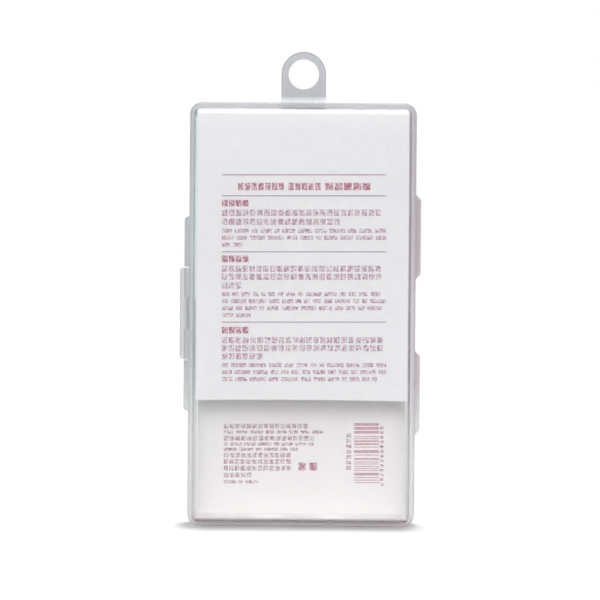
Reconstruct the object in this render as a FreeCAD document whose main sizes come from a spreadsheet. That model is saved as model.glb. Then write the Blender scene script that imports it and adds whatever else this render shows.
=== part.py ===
import FreeCAD
import Part
import Sketcher
import math
import os
import re

# A clear hinged case that stands on its short edge, with a folded card and three capped razors.
# Millimetres. +Z is up, the back of the case faces -Y, the living hinges are on +X, the latch on -X.
# The origin is the middle of the case's foot, on the parting plane between its two shells.

SIZES = {
    # Case shells
    "case_width": 68.0,
    "case_height": 127.0,
    "case_depth": 13.5,
    "wall": 1.5,
    "plate": 1.2,
    "corner_radius": 3.6,
    "cavity_radius": 1.2,
    "edge_radius": 1.0,
    "parting_gap": 0.1,
    "lip_height": 1.2,
    "lip_thickness": 0.6,
    "lip_clearance": 0.15,
    # Hang tab
    "tab_radius": 6.7,
    "tab_thickness": 1.4,
    "tab_root_radius": 1.7,
    "hole_radius": 4.65,
    "hole_rise": 9.3,
    # Living hinges between the shells
    "hinge_length": 26.4,
    "hinge_spacing": 47.4,
    "flange_out": 0.6,
    "flange_depth": 1.4,
    "web_thickness": 0.35,
    "web_inner_radius": 0.25,
    "web_lead": 0.75,
    # Latch flap, its living hinge and its catch
    "latch_length": 27.6,
    "latch_out": 2.8,
    "latch_thickness": 1.2,
    "latch_axis_back": 4.3,
    "latch_corner_radius": 0.9,
    "latch_edge_bevel": 0.3,
    "latch_foot": 1.3,
    "latch_slot": 9.7,
    "latch_seat_out": 0.3,
    "latch_seat_margin": 0.25,
    "latch_web_radius": 0.65,
    "latch_web_lead": 0.2,
    "ridge_out": 1.1,
    "ridge_front": 3.0,
    "ridge_land": 0.8,
    "hook_bite": 0.45,
    "hook_gap": 0.2,
    "hook_tip": 0.35,
    "hook_depth": 1.0,
    # Lugs above and below the latch
    "lug_length": 15.2,
    "lug_out": 1.7,
    "lug_depth": 2.2,
    "lug_gap": 0.45,
    "lug_radius": 1.2,
    # Folded card
    "card_thickness": 0.4,
    "card_side_gap": 0.7,
    "card_end_gap": 0.3,
    "card_face_gap": 0.3,
    "fold_radius": 0.9,
    "flap_length": 87.6,
    "window_side_bar": 3.8,
    "window_top_bar": 8.0,
    "window_rise": 8.4,
    "window_radius": 4.0,
    # Razors
    "razor_side_gap": 5.3,
    "butt_gap": 0.6,
    "cap_length": 30.7,
    "cap_width": 13.0,
    "cap_corner_radius": 2.6,
    "cap_wall": 0.8,
    "cap_end_bevel": 1.1,
    "cap_seat_gap": 0.3,
    "cap_fit": 0.2,
    "collar_height": 2.6,
    "collar_inset": 0.25,
    "collar_side_step": 0.85,
    "collar_face_step": 1.4,
    "collar_bevel": 0.6,
    "plug_length": 4.0,
    "handle_length": 55.0,
    "handle_edge_bevel": 1.3,
    "grip_rise": 20.0,
    "waist_width": 7.4,
    "scoop_length": 34.0,
    "rib_width": 3.6,
    "rib_thickness": 0.8,
    "rib_rise": 0.4,
    "rib_pitch": 2.0,
    "head_thickness": 2.8,
    "head_tip_gap": 1.0,
    "head_back_gap": 1.1,
    "head_tip_radius": 1.2,
    "blade_thickness": 0.3,
    "blade_length": 22.0,
    "blade_tip_gap": 1.4,
    "blade_bed": 2.8,
    "blade_out": 1.7,
    "blade_bevel": 0.9,
    "guard_thickness": 0.25,
    "guard_nose": 0.45,
    "guard_gap": 1.35,
    "guard_bevel": 0.2,
    "guard_slot_width": 0.6,
    "guard_slot_depth": 1.5,
    "guard_end_margin": 1.2,
    # Extra length of a cut past the face that it opens
    "overrun": 1.0,
}

# Counts, each razor's place in the row, and the roundness of a handle's end
RIBS = 5
GUARD_SLOTS = 13
RAZORS = {"left": -1, "middle": 0, "right": 1}
BUTT_SHARE = "0.44"

# Levels and places that several pieces share, as sums of the driving sizes
MID_HEIGHT = "case_height / 2"
HALF_WIDTH = "case_width / 2"
HALF_DEPTH = "case_depth / 2"
CARD_WIDTH = "(case_width - 2 * wall - 2 * card_side_gap)"
CARD_DEPTH = "(case_depth - 2 * plate - 2 * card_face_gap)"
CARD_FLOOR = "wall + card_end_gap"
CARD_TOP = "case_height - wall - card_end_gap"
FLAP_EDGE = CARD_TOP + " - flap_length"
HINGE_AXIS = "case_width / 2 + flange_out + web_lead"
WEB_OUTER = "web_inner_radius + web_thickness"
LATCH_AXIS = "-case_width / 2 - latch_seat_out - latch_web_lead"
LATCH_WEB_OUTER = "latch_web_radius + web_thickness"
LATCH_FACE = "-case_width / 2 - latch_out"
SHOULDER = CARD_TOP + " - card_thickness - butt_gap - handle_length"
CAP_END = SHOULDER + " - cap_seat_gap - cap_length"
CAP_THICKNESS = "(%s - 2 * card_thickness - 2 * cap_seat_gap)" % CARD_DEPTH
RAZOR_PITCH = "(%s / 2 - cap_width / 2 - razor_side_gap)" % CARD_WIDTH
HANDLE_WIDTH = "(cap_width - 2 * collar_inset - 2 * collar_side_step)"
HANDLE_THICKNESS = "(%s - 2 * collar_inset - 2 * collar_face_step)" % CAP_THICKNESS
HEAD_TIP = CAP_END + " + cap_wall + head_tip_gap"
HEAD_BACK = "cap_wall + head_back_gap - cap_width / 2"
HEAD_EDGE = "cap_width / 2 - cap_wall - guard_gap - guard_nose - blade_out"
BLADE_END = HEAD_TIP + " + blade_tip_gap"
BLADE_BACK = HEAD_EDGE + " - blade_bed"
BLADE_EDGE = HEAD_EDGE + " + blade_out"
GUARD_HALF = "blade_thickness / 2 + guard_thickness"

doc = FreeCAD.newDocument("razor_case")
sheet = doc.addObject("Spreadsheet::Sheet", "sizes")
for row, (alias, size) in enumerate(SIZES.items(), start=1):
    sheet.set("A%d" % row, alias)
    sheet.set("B%d" % row, str(size))
    sheet.setAlias("B%d" % row, alias)
doc.recompute()

X_AXIS = FreeCAD.Vector(1, 0, 0)
Y_AXIS = FreeCAD.Vector(0, 1, 0)
Z_AXIS = FreeCAD.Vector(0, 0, 1)
NEAR = 1e-4


def bound(expression):
    """Turns an expression in the sheet's aliases into one that other objects can use."""
    return re.sub(r"[a-z]\w*", r"sizes.\g<0>", expression)


def new_body(label):
    body = doc.addObject("PartDesign::Body", label)
    body.Label = label
    return body


def origin_feature(body, role):
    return next(item for item in body.Origin.OriginFeatures if item.Role == role)


def corners(left, right, bottom, top):
    return [(left, bottom), (right, bottom), (right, top), (left, top)]


def fix_point(sketch, item, point, place):
    """Ties a point of a sketch, by its X and then its Y where both are given, to the sheet."""
    here = sketch.getPoint(item, point)
    for kind, drawn, expression in zip(("DistanceX", "DistanceY"), here, place):
        number = sketch.addConstraint(Sketcher.Constraint(kind, -1, 1, item, point, drawn))
        sketch.setExpression("Constraints[%d]" % number, bound(expression))


def draw_polygon(sketch, points):
    """Draws a closed outline whose corners are tied to the sheet one by one."""
    first = sketch.GeometryCount
    count = len(points)
    ring = [FreeCAD.Vector(math.cos(2 * math.pi * i / count), math.sin(2 * math.pi * i / count), 0)
            for i in range(count)]
    for i in range(count):
        sketch.addGeometry(Part.LineSegment(ring[i], ring[(i + 1) % count]))
    for i in range(count):
        following = first + (i + 1) % count
        sketch.addConstraint(Sketcher.Constraint("Coincident", first + i, 2, following, 1))
    for i, point in enumerate(points):
        fix_point(sketch, first + i, 1, point)


def draw_rounded(sketch, left, right, bottom, top, radius):
    """Draws a rectangle with round corners: four sides, each followed by a quarter circle."""
    first = sketch.GeometryCount
    inset_left = "%s + (%s)" % (left, radius)
    inset_right = "%s - (%s)" % (right, radius)
    inset_bottom = "%s + (%s)" % (bottom, radius)
    inset_top = "%s - (%s)" % (top, radius)
    ends = [
        ((inset_left, bottom), (inset_right, bottom)),
        ((right, inset_bottom), (right, inset_top)),
        ((inset_right, top), (inset_left, top)),
        ((left, inset_top), (left, inset_bottom)),
    ]
    centres = [inset_right, inset_right, inset_left, inset_left]
    for quarter in range(4):
        turn = FreeCAD.Rotation(Z_AXIS, 90 * quarter)
        side_start = turn.multVec(FreeCAD.Vector(-1, -2, 0))
        side_end = turn.multVec(FreeCAD.Vector(1, -2, 0))
        side = sketch.addGeometry(Part.LineSegment(side_start, side_end))
        round_middle = Part.Circle(turn.multVec(FreeCAD.Vector(1, -1, 0)), Z_AXIS, 1)
        opening = math.radians(90 * quarter - 90)
        bend = sketch.addGeometry(Part.ArcOfCircle(round_middle, opening, opening + math.pi / 2))
        sketch.addConstraint(Sketcher.Constraint("Coincident", side, 2, bend, 1))
        for point, place in zip((1, 2), ends[quarter]):
            fix_point(sketch, side, point, place)
        fix_point(sketch, bend, 3, centres[quarter:quarter + 1])
    for quarter in range(4):
        bend = first + 2 * quarter + 1
        following = first + (2 * quarter + 2) % 8
        sketch.addConstraint(Sketcher.Constraint("Coincident", bend, 2, following, 1))


def draw_circle(sketch, across, up, radius):
    circle = sketch.addGeometry(Part.Circle(FreeCAD.Vector(0, 0, 0), Z_AXIS, 1))
    fix_point(sketch, circle, 3, (across, up))
    place = sketch.addConstraint(Sketcher.Constraint("Radius", circle, 1))
    sketch.setExpression("Constraints[%d]" % place, bound(radius))


def new_sketch(body, name, plane, level):
    """A sketch on one of the body's own planes, moved along the plane's normal to a level."""
    sketch = body.newObject("Sketcher::SketchObject", name)
    sketch.AttachmentSupport = [(origin_feature(body, plane), "")]
    sketch.MapMode = "FlatFace"
    sketch.setExpression("AttachmentOffset.Base.z", bound(level))
    return sketch


def prism(body, name, kind, plane, span, outlines):
    """Pads or pockets outlines between two levels of X, Y or Z, whichever the plane faces."""
    low, high = span
    adds = kind == "Pad"
    if plane == "XZ_Plane":
        level = "-(%s)" % (high if adds else low)
    else:
        level = low if adds else high
    sketch = new_sketch(body, name + "_sketch", plane, level)
    for outline in outlines:
        if isinstance(outline, list):
            draw_polygon(sketch, outline)
        elif len(outline) == 3:
            draw_circle(sketch, *outline)
        else:
            draw_rounded(sketch, *outline)
    feature = body.newObject("PartDesign::" + kind, name)
    feature.Profile = sketch
    feature.setExpression("Length", bound("%s - (%s)" % (high, low)))
    doc.recompute()
    before = feature.BaseFeature.Shape.Volume if feature.BaseFeature else 0
    gained = feature.Shape.Volume - before
    if (gained > 0) != adds or abs(gained) < NEAR:
        raise RuntimeError("%s in %s changed nothing" % (name, body.Label))
    return feature


def edges_along(shape, direction, keep):
    """Names of the straight edges along a direction whose middle passes a test."""
    names = []
    for number, edge in enumerate(shape.Edges, start=1):
        straight = isinstance(edge.Curve, Part.Line)
        if straight and abs(edge.Curve.Direction.dot(direction)) > 1 - NEAR and keep(edge.CenterOfMass):
            names.append("Edge%d" % number)
    return names


def face_at(shape, normal):
    """Name of the flat face that lies furthest along a direction."""
    flat = [(face.CenterOfMass.dot(normal), number) for number, face in enumerate(shape.Faces, start=1)
            if isinstance(face.Surface, Part.Plane) and face.normalAt(0, 0).dot(normal) > 1 - NEAR]
    return "Face%d" % max(flat)[1]


def round_off(body, name, radius, items):
    base = body.Tip
    feature = body.newObject("PartDesign::Fillet", name)
    feature.Base = (base, items)
    feature.setExpression("Radius", bound(radius))
    doc.recompute()
    return feature


def bevel(body, name, size, items):
    base = body.Tip
    feature = body.newObject("PartDesign::Chamfer", name)
    feature.Base = (base, items)
    feature.setExpression("Size", bound(size))
    doc.recompute()
    return feature


def side_span(side, near, far):
    """A span of Y on the back (-1) or front (+1) side of the parting plane."""
    if side > 0:
        return near, far
    return "-(%s)" % far, "-(%s)" % near


def flange_outline(out, centre):
    """Outline of a hinge flange from the wall outwards, with ends that slope at 45 degrees."""
    root = HALF_WIDTH + " - wall / 2"
    tip = HALF_WIDTH + " + " + out
    return [
        (root, centre + " - hinge_length / 2"),
        (HALF_WIDTH, centre + " - hinge_length / 2"),
        (tip, centre + " - hinge_length / 2 + " + out),
        (tip, centre + " + hinge_length / 2 - (" + out + ")"),
        (HALF_WIDTH, centre + " + hinge_length / 2"),
        (root, centre + " + hinge_length / 2"),
    ]


HINGE_CENTRES = {
    "upper": MID_HEIGHT + " + hinge_spacing / 2",
    "lower": MID_HEIGHT + " - hinge_spacing / 2",
}


def rim_outline(inset, radius):
    """The case's outline moved inwards, with corners of a given radius."""
    return ("%s - case_width / 2" % inset, "case_width / 2 - (%s)" % inset,
            inset, "case_height - (%s)" % inset, radius)


def make_shell(label, side):
    """One tray of the case: rounded corners and outer edges, a cavity, hinge flanges and lugs."""
    body = new_body(label)
    rim = "parting_gap / 2"
    prism(body, label + "_block", "Pad", "XZ_Plane", side_span(side, rim, HALF_DEPTH),
          [rim_outline("0", "corner_radius")])
    round_off(body, label + "_edges", "edge_radius", [face_at(body.Tip.Shape, Y_AXIS * side)])
    prism(body, label + "_cavity", "Pocket", "XZ_Plane",
          side_span(side, rim + " - overrun", HALF_DEPTH + " - plate"),
          [rim_outline("wall", "cavity_radius")])

    for place, centre in HINGE_CENTRES.items():
        prism(body, "%s_flange_%s" % (label, place), "Pad", "XZ_Plane",
              side_span(side, "web_inner_radius", "web_inner_radius + flange_depth"),
              [flange_outline("flange_out", centre)])

    lug_root = "wall / 2 - case_width / 2"
    lug_face = "-case_width / 2 - lug_out"
    for place, sign in (("upper", "+"), ("lower", "-")):
        start = "%s %s (latch_length / 2 + lug_gap)" % (MID_HEIGHT, sign)
        end = "%s %s lug_length" % (start, sign)
        lug = prism(body, "%s_lug_%s" % (label, place), "Pad", "XZ_Plane", side_span(side, rim, "lug_depth"),
                    [corners(lug_face, lug_root, start, end)])
        face = -sheet.case_width / 2 - sheet.lug_out
        reach = sheet.latch_length / 2 + sheet.lug_gap + sheet.lug_length
        far = sheet.case_height / 2 + (reach if sign == "+" else -reach)
        outer = edges_along(lug.Shape, Y_AXIS,
                            lambda middle: abs(middle.x - face) < NEAR and abs(middle.z - far) < NEAR)
        round_off(body, "%s_lug_%s_end" % (label, place), "lug_radius", outer)
    return body


def add_lip(body):
    """A thin lip along the inside of the back shell's rim that guides the front shell shut."""
    prism(body, "lip", "Pad", "XZ_Plane", ("-parting_gap / 2", "lip_height"),
          [rim_outline("wall - lip_thickness", "cavity_radius + lip_thickness"),
           rim_outline("wall", "cavity_radius")])


def add_rebate(body):
    """The step in the front shell's rim that takes the lip."""
    prism(body, "rebate", "Pocket", "XZ_Plane", ("parting_gap / 2 - overrun", "lip_height + lip_clearance"),
          [rim_outline("wall - lip_thickness - lip_clearance",
                       "cavity_radius + lip_thickness + lip_clearance")])


def add_hang_tab(body):
    """A round-topped tab at the back shell's rim, with a hole for a display hook."""
    tab_span = ("-parting_gap / 2 - tab_thickness", "-parting_gap / 2")
    centre = "case_height + hole_rise"
    prism(body, "tab_stem", "Pad", "XZ_Plane", tab_span,
          [corners("-tab_radius", "tab_radius", "case_height - wall / 2", centre)])
    prism(body, "tab_head", "Pad", "XZ_Plane", tab_span, [("0", centre, "tab_radius")])
    prism(body, "tab_hole", "Pocket", "XZ_Plane",
          ("-parting_gap / 2 - tab_thickness - overrun", "-parting_gap / 2 + overrun"),
          [("0", centre, "hole_radius")])
    back = -sheet.parting_gap / 2 - sheet.tab_thickness
    top = sheet.case_height
    root = edges_along(body.Tip.Shape, X_AXIS,
                       lambda middle: abs(middle.y - back) < NEAR and abs(middle.z - top) < NEAR)
    round_off(body, "tab_root", "tab_root_radius", root)


LATCH_STRIPS = {
    "upper": (MID_HEIGHT + " + latch_slot / 2", MID_HEIGHT + " + latch_length / 2"),
    "lower": (MID_HEIGHT + " - latch_length / 2", MID_HEIGHT + " - latch_slot / 2"),
}


def add_latch_seat(body):
    """Two low ledges on the back shell's wall that carry the latch's living hinge."""
    for place, (bottom, top) in LATCH_STRIPS.items():
        prism(body, "latch_seat_" + place, "Pad", "XZ_Plane",
              ("-latch_axis_back - (%s) - latch_seat_margin" % LATCH_WEB_OUTER,
               "-latch_axis_back - latch_web_radius + latch_seat_margin"),
              [corners("-case_width / 2 - latch_seat_out", "wall / 2 - case_width / 2", bottom, top)])


def add_catch_ridge(body):
    """The ramped ridge on the front shell's wall that the latch hooks over."""
    wall_face = "-case_width / 2"
    tip = "-case_width / 2 - ridge_out"
    prism(body, "catch_ridge", "Pad", "XY_Plane",
          (MID_HEIGHT + " - latch_slot / 2", MID_HEIGHT + " + latch_slot / 2"),
          [[("wall / 2 - case_width / 2", "ridge_front"), (wall_face, "ridge_front"), (tip, "ridge_front"),
            (tip, "ridge_front - ridge_land"), (wall_face, "ridge_front - ridge_land - ridge_out"),
            ("wall / 2 - case_width / 2", "ridge_front - ridge_land - ridge_out")]])


def turn_strip(body, name, axis, level, radii, span, turn, start):
    """Revolves a strip's section round an upright axis, from one end of its bend to the other."""
    inner, outer = radii
    sketch = new_sketch(body, name + "_sketch", "XZ_Plane", "-(%s)" % level)
    draw_polygon(sketch, corners("%s + %s" % (axis, inner), "%s + %s" % (axis, outer), *span))
    hub = sketch.addGeometry(Part.LineSegment(FreeCAD.Vector(0, 0, 0), FreeCAD.Vector(0, 1, 0)), True)
    fix_point(sketch, hub, 1, (axis, span[0]))
    fix_point(sketch, hub, 2, (axis, span[1]))
    feature = body.newObject("PartDesign::Revolution", name)
    feature.Profile = sketch
    feature.ReferenceAxis = (sketch, ["Axis0"])
    feature.Angle = turn
    feature.Midplane = start == "middle"
    feature.Reversed = start == "reversed"
    doc.recompute()
    return feature


def make_hinge_web(place):
    """A living hinge folded shut: a thin strip bent round the hinge axis, with sloping ends."""
    body = new_body("hinge_web_" + place)
    centre = HINGE_CENTRES[place]
    span = (centre + " - hinge_length / 2", centre + " + hinge_length / 2")
    turn_strip(body, "bend", HINGE_AXIS, "0", ("web_inner_radius", WEB_OUTER), span, 180, "middle")
    for side, end in ((-1, "back"), (1, "front")):
        prism(body, "lead_" + end, "Pad", "XZ_Plane", side_span(side, "web_inner_radius", WEB_OUTER),
              [corners(HALF_WIDTH + " + flange_out", HINGE_AXIS, *span)])
    reach = "flange_out + web_lead + %s + overrun" % WEB_OUTER
    far = HALF_WIDTH + " + " + reach
    for sign, end in (("+", "top"), ("-", "bottom")):
        tip = "%s %s hinge_length / 2" % (centre, sign)
        back = "-" if sign == "+" else "+"
        prism(body, "slope_" + end, "Pocket", "XZ_Plane",
              ("-(%s) - overrun" % WEB_OUTER, WEB_OUTER + " + overrun"),
              [[(HALF_WIDTH, tip), (far, "%s %s (%s)" % (tip, back, reach)), (far, tip)]])
    return body


def make_latch_web(place):
    """One strip of the latch's living hinge, bent a quarter turn from the wall to the latch."""
    body = new_body("latch_web_" + place)
    span = LATCH_STRIPS[place]
    sketch_level = "-latch_axis_back"
    turn_strip(body, "bend", LATCH_AXIS, sketch_level, ("-(%s)" % LATCH_WEB_OUTER, "-latch_web_radius"),
               span, 90, "forward")
    prism(body, "lead_wall", "Pad", "XZ_Plane",
          ("-latch_axis_back - (%s)" % LATCH_WEB_OUTER, "-latch_axis_back - latch_web_radius"),
          [corners(LATCH_AXIS, "-case_width / 2 - latch_seat_out", *span)])
    prism(body, "lead_latch", "Pad", "XZ_Plane", ("-latch_axis_back", "-latch_axis_back + latch_web_lead"),
          [corners("%s - (%s)" % (LATCH_AXIS, LATCH_WEB_OUTER), LATCH_AXIS + " - latch_web_radius", *span)])
    return body


def make_latch():
    """The snap flap: a foot at its living hinge, a leg along the wall and a hook behind the ridge."""
    body = new_body("latch")
    start = "-latch_axis_back + latch_web_lead"
    foot_end = LATCH_AXIS + " - latch_web_radius + latch_seat_margin"
    leg_face = LATCH_FACE + " + latch_thickness"
    hook_face = "-case_width / 2 - ridge_out + hook_bite"
    hook_start = "ridge_front + hook_gap"
    flap = prism(body, "flap", "Pad", "XY_Plane",
                 (MID_HEIGHT + " - latch_length / 2", MID_HEIGHT + " + latch_length / 2"),
                 [[(LATCH_FACE, start), (foot_end, start), (foot_end, start + " + latch_foot"),
                   (leg_face, start + " + latch_foot"), (leg_face, hook_start), (hook_face, hook_start),
                   (hook_face, hook_start + " + hook_tip"), (leg_face, hook_start + " + hook_depth"),
                   (LATCH_FACE, hook_start + " + hook_depth")]])
    face = -sheet.case_width / 2 - sheet.latch_out
    ends = edges_along(flap.Shape, Y_AXIS, lambda middle: abs(middle.x - face) < NEAR)
    round_off(body, "flap_corners", "latch_corner_radius", ends)
    bevel(body, "flap_edges", "latch_edge_bevel", [face_at(body.Tip.Shape, -X_AXIS)])
    return body


def make_card():
    """One folded sheet: a floor, a front panel with a window, a ceiling and a back flap."""
    body = new_body("display_card")
    half = CARD_DEPTH + " / 2"
    across = ("-%s / 2" % CARD_WIDTH, CARD_WIDTH + " / 2")
    beyond = ("-%s / 2 - overrun" % CARD_WIDTH, CARD_WIDTH + " / 2 + overrun")
    fold = prism(body, "fold", "Pad", "YZ_Plane", across, [corners("-" + half, half, CARD_FLOOR, CARD_TOP)])
    block = fold.Shape.BoundBox
    folds = edges_along(fold.Shape, X_AXIS,
                        lambda middle: middle.y > block.YMin + NEAR or middle.z > block.ZMin + NEAR)
    round_off(body, "fold_outside", "fold_radius", folds)
    inside = prism(body, "hollow", "Pocket", "YZ_Plane", beyond,
                   [corners("card_thickness - " + half, half + " - card_thickness",
                            CARD_FLOOR + " + card_thickness", CARD_TOP + " - card_thickness")])
    inner_y = block.YMax - sheet.card_thickness
    inner_low = block.ZMin + sheet.card_thickness
    inner_folds = edges_along(
        inside.Shape, X_AXIS,
        lambda middle: abs(abs(middle.y) - inner_y) < NEAR and (middle.y > 0 or middle.z > inner_low + NEAR))
    round_off(body, "fold_inside", "fold_radius - card_thickness", inner_folds)
    prism(body, "back_opening", "Pocket", "YZ_Plane", beyond,
          [corners("-%s - overrun" % half, "card_thickness - " + half,
                   CARD_FLOOR + " + card_thickness", FLAP_EDGE)])
    prism(body, "window", "Pocket", "XZ_Plane", (half + " - card_thickness - overrun", half + " + overrun"),
          [("window_side_bar - %s / 2" % CARD_WIDTH, CARD_WIDTH + " / 2 - window_side_bar",
            FLAP_EDGE + " + window_rise", CARD_TOP + " - window_top_bar", "window_radius")])
    return body


def place_razor_piece(body, side):
    body.setExpression("Placement.Base.x", bound("%d * %s" % (side, RAZOR_PITCH)))
    return body


def row_along(body, name, original, axis, count, length):
    """Repeats a cut or a rib along one of the body's own axes."""
    row = body.newObject("PartDesign::LinearPattern", name)
    row.Originals = [original]
    row.Direction = (origin_feature(body, axis), [""])
    row.Occurrences = count
    row.setExpression("Length", bound(length))
    body.Tip = row
    doc.recompute()
    return row


def oval(width, thickness, radius):
    """Outline of a sleeve's section, seen along the razor."""
    half_width = "(%s) / 2" % width
    half_thickness = "(%s) / 2" % thickness
    return "-" + half_width, half_width, "-" + half_thickness, half_thickness, radius


def make_handle(place, side):
    """A moulded handle: a waisted bar with thumb ribs, a collar and plug for the cap, and a spine."""
    body = new_body("handle_" + place)
    top = SHOULDER + " + handle_length"
    level = SHOULDER + " + grip_rise"
    half = HANDLE_THICKNESS + " / 2"
    half_width = HANDLE_WIDTH + " / 2"

    bar = prism(body, "bar", "Pad", "XZ_Plane", ("-" + half, half),
                [corners("-" + half_width, half_width, SHOULDER, top)])
    top_z = bar.Shape.BoundBox.ZMax
    shoulder_z = bar.Shape.BoundBox.ZMin
    face_y = bar.Shape.BoundBox.YMax
    butt = edges_along(bar.Shape, Y_AXIS, lambda middle: abs(middle.z - top_z) < NEAR)
    round_off(body, "butt", "%s * %s" % (BUTT_SHARE, HANDLE_WIDTH), butt)
    scoop_depth = "((%s - waist_width) / 2)" % HANDLE_WIDTH
    scoop_radius = "(scoop_length * scoop_length / (8 * %s) + %s / 2)" % (scoop_depth, scoop_depth)
    scoop_centre = "waist_width / 2 + " + scoop_radius
    prism(body, "waist", "Pocket", "XZ_Plane", ("-%s - overrun" % half, half + " + overrun"),
          [(scoop_centre, level, scoop_radius), ("-(%s)" % scoop_centre, level, scoop_radius)])
    outline = ["Edge%d" % number for number, edge in enumerate(body.Tip.Shape.Edges, start=1)
               if abs(abs(edge.CenterOfMass.y) - face_y) < NEAR and edge.CenterOfMass.z > shoulder_z + NEAR]
    bevel(body, "edge_bevels", "handle_edge_bevel", outline)

    rib_row = "%d * rib_pitch" % (RIBS - 1)
    first_rib = "%s - %s / 2" % (level, rib_row)
    rib = prism(body, "rib", "Pad", "XZ_Plane", ("-%s - rib_rise" % half, half + " + rib_rise"),
                [corners("-rib_width / 2", "rib_width / 2",
                         first_rib + " - rib_thickness / 2", first_rib + " + rib_thickness / 2")])
    row_along(body, "ribs", rib, "Z_Axis", RIBS, rib_row)

    inset = "2 * collar_inset"
    collar = prism(body, "collar", "Pad", "XY_Plane", (SHOULDER, SHOULDER + " + collar_height"),
                   [oval("cap_width - " + inset, "%s - %s" % (CAP_THICKNESS, inset), "cap_corner_radius")])
    collar_z = shoulder_z + sheet.collar_height
    rim = edges_along(collar.Shape, X_AXIS,
                      lambda middle: abs(middle.z - collar_z) < NEAR and abs(middle.y) > face_y + NEAR)
    bevel(body, "collar_edge", "collar_bevel", rim)
    fit = "2 * cap_wall - 2 * cap_fit"
    prism(body, "plug", "Pad", "XY_Plane", (SHOULDER + " - plug_length", SHOULDER),
          [oval("cap_width - " + fit, "%s - %s" % (CAP_THICKNESS, fit),
                "cap_corner_radius - cap_wall - cap_fit")])
    spine = prism(body, "spine", "Pad", "XZ_Plane", ("-head_thickness / 2", "head_thickness / 2"),
                  [corners(HEAD_BACK, HEAD_EDGE, HEAD_TIP, SHOULDER)])
    tip_z = spine.Shape.BoundBox.ZMin
    tip_edges = edges_along(spine.Shape, Y_AXIS, lambda middle: abs(middle.z - tip_z) < NEAR)
    round_off(body, "spine_tip", "head_tip_radius", tip_edges)
    prism(body, "blade_bed", "Pocket", "XZ_Plane", ("-(%s)" % GUARD_HALF, GUARD_HALF),
          [corners(BLADE_BACK, HEAD_EDGE + " + overrun", BLADE_END, BLADE_END + " + blade_length")])
    return place_razor_piece(body, side)


def make_blade(place, side):
    """A flat stainless blade, ground to an edge along one side."""
    body = new_body("blade_" + place)
    half = "blade_thickness / 2"
    ground = BLADE_EDGE + " - blade_bevel"
    prism(body, "strip", "Pad", "XY_Plane", (BLADE_END, BLADE_END + " + blade_length"),
          [[(BLADE_BACK, "-" + half), (ground, "-" + half), (BLADE_EDGE, "0"),
            (ground, half), (BLADE_BACK, half)]])
    return place_razor_piece(body, side)


def make_guard(place, side):
    """A thin channel over the blade's edge, with a row of slots that let the hairs through."""
    body = new_body("guard_" + place)
    nose = BLADE_EDGE + " + guard_nose"
    shank = nose + " - guard_bevel"
    flat = GUARD_HALF + " - guard_bevel"
    prism(body, "channel", "Pad", "XY_Plane", (BLADE_END, BLADE_END + " + blade_length"),
          [[(BLADE_BACK, "-(%s)" % GUARD_HALF), (shank, "-(%s)" % GUARD_HALF), (nose, "-(%s)" % flat),
            (nose, flat), (shank, GUARD_HALF), (BLADE_BACK, GUARD_HALF)]])
    prism(body, "inside", "Pocket", "XY_Plane",
          (BLADE_END + " - overrun", BLADE_END + " + blade_length + overrun"),
          [corners(BLADE_BACK + " - overrun", BLADE_EDGE, "-blade_thickness / 2", "blade_thickness / 2")])
    first = BLADE_END + " + guard_end_margin"
    slot = prism(body, "slot", "Pocket", "XZ_Plane",
                 ("-(%s) - overrun" % GUARD_HALF, GUARD_HALF + " + overrun"),
                 [corners(nose + " - guard_slot_depth", nose + " + overrun",
                          first, first + " + guard_slot_width")])
    row_along(body, "slots", slot, "Z_Axis", GUARD_SLOTS,
              "blade_length - 2 * guard_end_margin - guard_slot_width")
    return place_razor_piece(body, side)


def make_cap(place, side):
    """A clear sleeve with a bevelled closed end, which pulls straight off the blade."""
    body = new_body("cap_" + place)
    mouth = CAP_END + " + cap_length"
    prism(body, "sleeve", "Pad", "XY_Plane", (CAP_END, mouth),
          [oval("cap_width", CAP_THICKNESS, "cap_corner_radius")])
    bevel(body, "closed_end", "cap_end_bevel", [face_at(body.Tip.Shape, -Z_AXIS)])
    prism(body, "hollow", "Pocket", "XY_Plane", (CAP_END + " + cap_wall", mouth + " + overrun"),
          [oval("cap_width - 2 * cap_wall", "%s - 2 * cap_wall" % CAP_THICKNESS,
                "cap_corner_radius - cap_wall")])
    return place_razor_piece(body, side)


back_shell = make_shell("back_shell", -1)
add_lip(back_shell)
add_hang_tab(back_shell)
add_latch_seat(back_shell)
front_shell = make_shell("front_shell", 1)
add_rebate(front_shell)
add_catch_ridge(front_shell)

pieces = [back_shell, front_shell, make_latch(), make_card()]
pieces += [make_hinge_web(place) for place in HINGE_CENTRES]
pieces += [make_latch_web(place) for place in LATCH_STRIPS]
for place, side in RAZORS.items():
    pieces += [make(place, side) for make in (make_handle, make_blade, make_guard, make_cap)]
doc.recompute()

failed = [item.Label for item in doc.Objects if {"Invalid", "Error"} & set(item.State)]
broken = [item.Label for item in pieces if item.Shape.isNull() or not item.Shape.isValid()]
if failed or broken:
    raise RuntimeError("failed: %s, broken: %s" % (failed, broken))

os.makedirs("parts", exist_ok=True)
for piece in pieces:
    solids = len(piece.Shape.Solids)
    print("%-20s %d solid, %9.2f mm3" % (piece.Label, solids, piece.Shape.Volume))
    piece.Shape.exportStep("parts/%s.step" % piece.Label)
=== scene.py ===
import math
import random

import bpy
from mathutils import Matrix, Vector


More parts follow.
